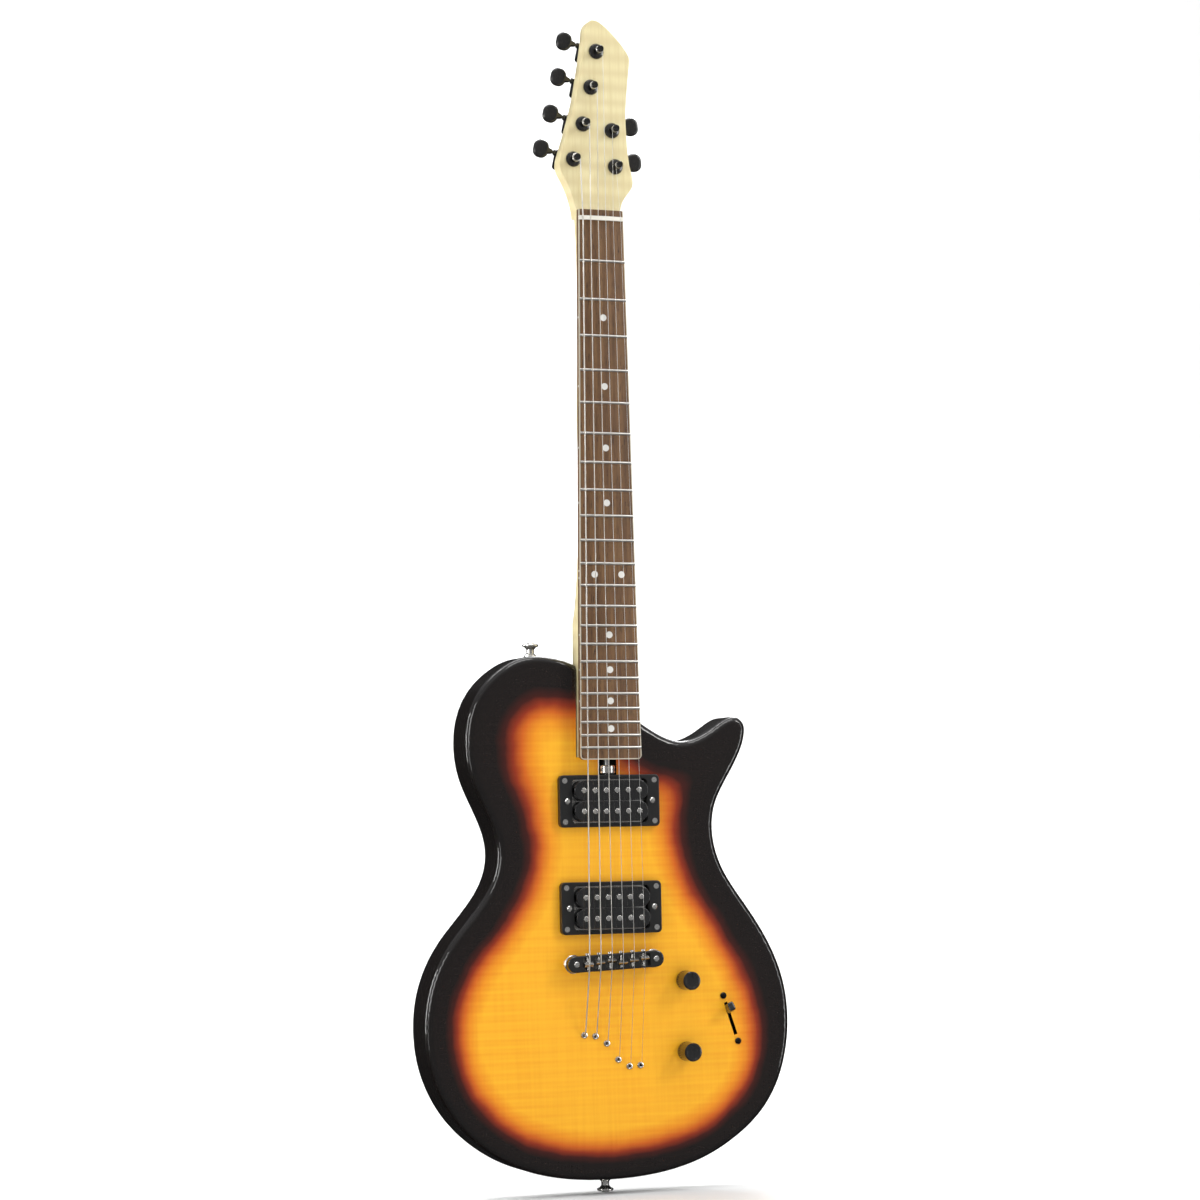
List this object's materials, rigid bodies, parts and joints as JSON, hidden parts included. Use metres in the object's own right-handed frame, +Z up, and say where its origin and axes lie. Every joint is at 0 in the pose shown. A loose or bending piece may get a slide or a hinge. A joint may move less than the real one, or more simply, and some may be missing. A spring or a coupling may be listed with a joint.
{
  "type": "electric guitar",
  "caption": "Solid-body electric guitar with a bolted neck, geared tuners, height-adjustable pickups, turning knobs and a blade selector switch.",
  "frame": {"origin": "scale datum where the hanger's yoke holds the neck: centre line, fingerboard face, front edge of the nut", "axes": "+Z up along the neck to the headstock, -Y out of the front face, +X towards the treble strings"},
  "size_m": [0.3377, 0.0642, 1.0369],
  "materials": {
    "burst_finish": "gloss lacquer",
    "maple": "satin",
    "rosewood": "oiled",
    "bone": "polished",
    "fret_wire": "polished",
    "pearl": "polished",
    "black_metal": "gloss",
    "nickel": "polished",
    "steel": "plain",
    "wound_string": "wound",
    "plain_string": "plain",
    "black_plastic": "satin",
    "gloss_black": "gloss"
  },
  "bodies": {
    "instrument": {"body": "burst_finish", "bridge_base": "black_metal", "bridge_inserts": "nickel", "bridge_posts": "nickel", "control_cover": "black_plastic", "fingerboard": "rosewood", "frets": "fret_wire", "height_springs": "steel", "machine_screws": "nickel", "neck": "maple", "neck_ferrules": "nickel", "neck_screws": "nickel", "nut": "bone", "output_jack": "nickel", "pickup_rings": "black_plastic", "position_dots": "pearl", "potentiometers": "steel", "saddle_screws": "nickel", "strap_buttons": "nickel", "strap_screws": "nickel", "string_1": "plain_string", "string_2": "plain_string", "string_3": "plain_string", "string_4": "wound_string", "string_5": "wound_string", "string_6": "wound_string", "string_ferrules": "nickel", "switch_frame": "steel", "truss_rod": "steel", "tuner_bushings": "black_metal", "tuner_housings": "black_metal", "wood_screws": "nickel"},
    "key_1": {"tuner_key_1": "black_metal"},
    "post_1": {"tuner_post_1": "black_metal"},
    "bridge_saddle_1": {"saddle_1": "nickel"},
    "key_2": {"tuner_key_2": "black_metal"},
    "post_2": {"tuner_post_2": "black_metal"},
    "bridge_saddle_2": {"saddle_2": "nickel"},
    "key_3": {"tuner_key_3": "black_metal"},
    "post_3": {"tuner_post_3": "black_metal"},
    "bridge_saddle_3": {"saddle_3": "nickel"},
    "key_4": {"tuner_key_4": "black_metal"},
    "post_4": {"tuner_post_4": "black_metal"},
    "bridge_saddle_4": {"saddle_4": "nickel"},
    "key_5": {"tuner_key_5": "black_metal"},
    "post_5": {"tuner_post_5": "black_metal"},
    "bridge_saddle_5": {"saddle_5": "nickel"},
    "key_6": {"tuner_key_6": "black_metal"},
    "post_6": {"tuner_post_6": "black_metal"},
    "bridge_saddle_6": {"saddle_6": "nickel"},
    "truss_adjuster": {"truss_wheel": "nickel"},
    "volume_control": {"volume_knob": "black_metal"},
    "tone_control": {"tone_knob": "black_metal"},
    "pickup_selector": {"switch_lever": "gloss_black"},
    "neck_pickup": {"neck_pickup_bobbins": "black_plastic", "neck_pickup_poles": "nickel", "neck_pickup_plate": "nickel"},
    "bridge_pickup": {"bridge_pickup_bobbins": "black_plastic", "bridge_pickup_poles": "nickel", "bridge_pickup_plate": "nickel"}
  },
  "joints": [
    {"name": "tuner_key_turn_6", "type": "hinge", "parent": "instrument", "child": "key_6", "pos_m": [-0.0208, 0.028, 0.06234], "axis": [-0.9767, 0, 0.2147], "continuous": true},
    {"name": "tuner_post_turn_6", "type": "hinge", "parent": "instrument", "child": "post_6", "pos_m": [-0.0223, 0, 0.0555], "axis": [0, -1, 0], "continuous": true},
    {"name": "tuner_key_turn_5", "type": "hinge", "parent": "instrument", "child": "key_5", "pos_m": [-0.0112, 0.028, 0.09454], "axis": [-0.9767, 0, 0.2147], "continuous": true},
    {"name": "tuner_post_turn_5", "type": "hinge", "parent": "instrument", "child": "post_5", "pos_m": [-0.0127, 0, 0.0877], "axis": [0, -1, 0], "continuous": true},
    {"name": "tuner_key_turn_4", "type": "hinge", "parent": "instrument", "child": "key_4", "pos_m": [-0.0032, 0.028, 0.12814], "axis": [-0.9767, 0, 0.2147], "continuous": true},
    {"name": "tuner_post_turn_4", "type": "hinge", "parent": "instrument", "child": "post_4", "pos_m": [-0.0047, 0, 0.1213], "axis": [0, -1, 0], "continuous": true},
    {"name": "tuner_key_turn_3", "type": "hinge", "parent": "instrument", "child": "key_3", "pos_m": [0.0027, 0.028, 0.16094], "axis": [-0.9767, 0, 0.2147], "continuous": true},
    {"name": "tuner_post_turn_3", "type": "hinge", "parent": "instrument", "child": "post_3", "pos_m": [0.0012, 0, 0.1541], "axis": [0, -1, 0], "continuous": true},
    {"name": "tuner_key_turn_2", "type": "hinge", "parent": "instrument", "child": "key_2", "pos_m": [0.01414, 0.028, 0.09028], "axis": [0.9968, 0, 0.0802], "continuous": true},
    {"name": "tuner_post_turn_2", "type": "hinge", "parent": "instrument", "child": "post_2", "pos_m": [0.0147, 0, 0.0833], "axis": [0, -1, 0], "continuous": true},
    {"name": "tuner_key_turn_1", "type": "hinge", "parent": "instrument", "child": "key_1", "pos_m": [0.01674, 0.028, 0.05778], "axis": [0.9968, 0, 0.0802], "continuous": true},
    {"name": "tuner_post_turn_1", "type": "hinge", "parent": "instrument", "child": "post_1", "pos_m": [0.0173, 0, 0.0508], "axis": [0, -1, 0], "continuous": true},
    {"name": "saddle_intonation_6", "type": "slide", "parent": "instrument", "child": "bridge_saddle_6", "axis": [-0.0401, 0, 0.9992], "range_m": [-0.0015, 0.0015], "deforming": ["string_6"]},
    {"name": "saddle_intonation_5", "type": "slide", "parent": "instrument", "child": "bridge_saddle_5", "axis": [-0.0401, 0, 0.9992], "range_m": [-0.0015, 0.0015], "deforming": ["string_5"]},
    {"name": "saddle_intonation_4", "type": "slide", "parent": "instrument", "child": "bridge_saddle_4", "axis": [-0.0401, 0, 0.9992], "range_m": [-0.0015, 0.0015], "deforming": ["string_4"]},
    {"name": "saddle_intonation_3", "type": "slide", "parent": "instrument", "child": "bridge_saddle_3", "axis": [-0.0401, 0, 0.9992], "range_m": [-0.0015, 0.0015], "deforming": ["string_3"]},
    {"name": "saddle_intonation_2", "type": "slide", "parent": "instrument", "child": "bridge_saddle_2", "axis": [-0.0401, 0, 0.9992], "range_m": [-0.0015, 0.0015], "deforming": ["string_2"]},
    {"name": "saddle_intonation_1", "type": "slide", "parent": "instrument", "child": "bridge_saddle_1", "axis": [-0.0401, 0, 0.9992], "range_m": [-0.0015, 0.0015], "deforming": ["string_1"]},
    {"name": "truss_wheel_turn", "type": "hinge", "parent": "instrument", "child": "truss_adjuster", "pos_m": [0, 0.0126, -0.48515], "axis": [0, 0, 1], "range_deg": [-360, 360]},
    {"name": "volume_turn", "type": "hinge", "parent": "instrument", "child": "volume_control", "pos_m": [0.0687, 0.012, -0.671], "axis": [0, -1, 0], "range_deg": [-150, 150]},
    {"name": "tone_turn", "type": "hinge", "parent": "instrument", "child": "tone_control", "pos_m": [0.0687, 0.012, -0.733], "axis": [0, -1, 0], "range_deg": [-150, 150]},
    {"name": "selector_throw", "type": "hinge", "parent": "instrument", "child": "pickup_selector", "pos_m": [0.1119, 0.033, -0.70595], "axis": [0.9503, 0, 0.3113], "range_deg": [0, 40]},
    {"name": "neck_pickup_height", "type": "slide", "parent": "instrument", "child": "neck_pickup", "axis": [0, -1, 0], "range_m": [-0.004, 0.003], "deforming": ["height_springs"]},
    {"name": "bridge_pickup_height", "type": "slide", "parent": "instrument", "child": "bridge_pickup", "axis": [0, -1, 0], "range_m": [-0.004, 0.003], "deforming": ["height_springs"]}
  ],
  "couplings": [
    {"joint": "tuner_post_turn_6", "follows": "tuner_key_turn_6", "ratio": -0.071429},
    {"joint": "tuner_post_turn_5", "follows": "tuner_key_turn_5", "ratio": -0.071429},
    {"joint": "tuner_post_turn_4", "follows": "tuner_key_turn_4", "ratio": -0.071429},
    {"joint": "tuner_post_turn_3", "follows": "tuner_key_turn_3", "ratio": -0.071429},
    {"joint": "tuner_post_turn_2", "follows": "tuner_key_turn_2", "ratio": 0.071429},
    {"joint": "tuner_post_turn_1", "follows": "tuner_key_turn_1", "ratio": 0.071429}
  ]
}
